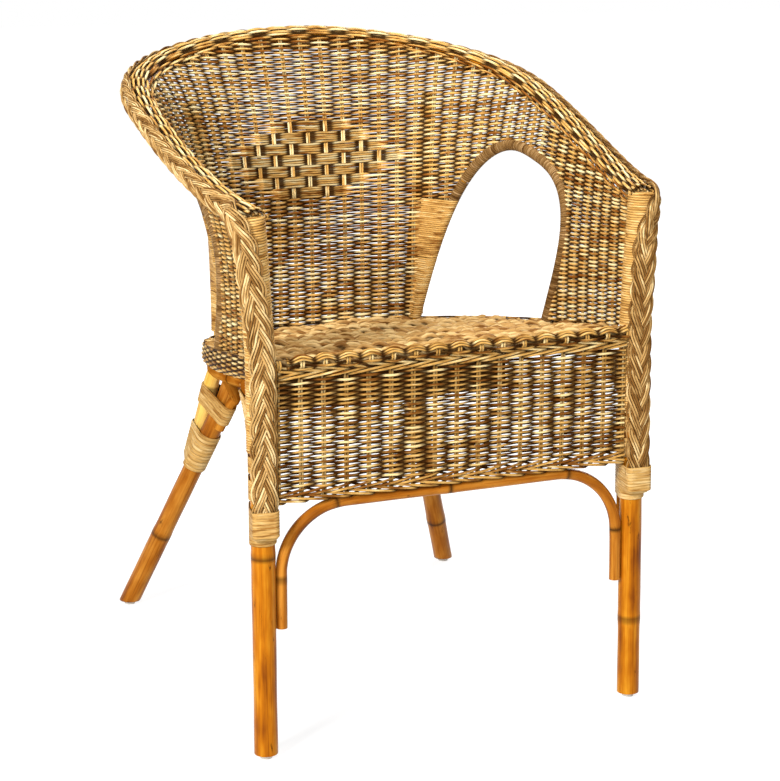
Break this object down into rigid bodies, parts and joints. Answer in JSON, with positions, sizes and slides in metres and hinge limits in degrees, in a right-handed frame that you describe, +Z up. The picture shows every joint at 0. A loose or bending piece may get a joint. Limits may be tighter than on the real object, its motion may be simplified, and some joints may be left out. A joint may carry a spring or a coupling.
{
  "type": "wicker armchair",
  "caption": "Low tub armchair of bent rattan poles with a woven reed back, arms, seat and apron, a plaited rim and oval arm openings.",
  "frame": {"origin": "middle of the chair's box, at the floor", "axes": "+Z up, -Y the way the sitter faces, +X to the right seen from the front. Left and right in names are as seen from the front."},
  "size_m": [0.5444, 0.5682, 0.7503],
  "materials": {
    "honey_rattan_pole": "glossy varnish",
    "yellow_rattan_pole": "glossy varnish",
    "woven_reed": "satin",
    "plaited_reed": "satin",
    "cane_winding": "satin",
    "glide_plastic": "matt"
  },
  "bodies": {
    "root": {"apron_weave": "woven_reed", "arm_hoop_left": "honey_rattan_pole", "arm_hoop_right": "honey_rattan_pole", "arm_hoop_winding_left": "cane_winding", "arm_hoop_winding_right": "cane_winding", "arm_weave_left": "woven_reed", "arm_weave_right": "woven_reed", "back_post_left": "yellow_rattan_pole", "back_post_right": "yellow_rattan_pole", "back_weave": "woven_reed", "bow_binding_lower_left": "cane_winding", "bow_binding_lower_right": "cane_winding", "bow_binding_upper_left": "cane_winding", "bow_binding_upper_right": "cane_winding", "bow_end_binding_left": "cane_winding", "bow_end_binding_right": "cane_winding", "front_bow": "honey_rattan_pole", "front_leg_left": "honey_rattan_pole", "front_leg_right": "honey_rattan_pole", "glide_front_left": "glide_plastic", "glide_front_right": "glide_plastic", "glide_rear_left": "glide_plastic", "glide_rear_right": "glide_plastic", "leg_binding_left": "cane_winding", "leg_binding_right": "cane_winding", "post_braid_left": "plaited_reed", "post_braid_right": "plaited_reed", "rear_leg_binding_left": "cane_winding", "rear_leg_binding_right": "cane_winding", "rear_leg_left": "honey_rattan_pole", "rear_leg_right": "honey_rattan_pole", "rim_braid": "plaited_reed", "rim_hoop": "honey_rattan_pole", "seat_bar_left": "honey_rattan_pole", "seat_bar_right": "honey_rattan_pole", "seat_front_rail": "honey_rattan_pole", "seat_hoop": "honey_rattan_pole", "seat_weave": "woven_reed", "side_bow_left": "honey_rattan_pole", "side_bow_right": "honey_rattan_pole"}
  },
  "joints": []
}
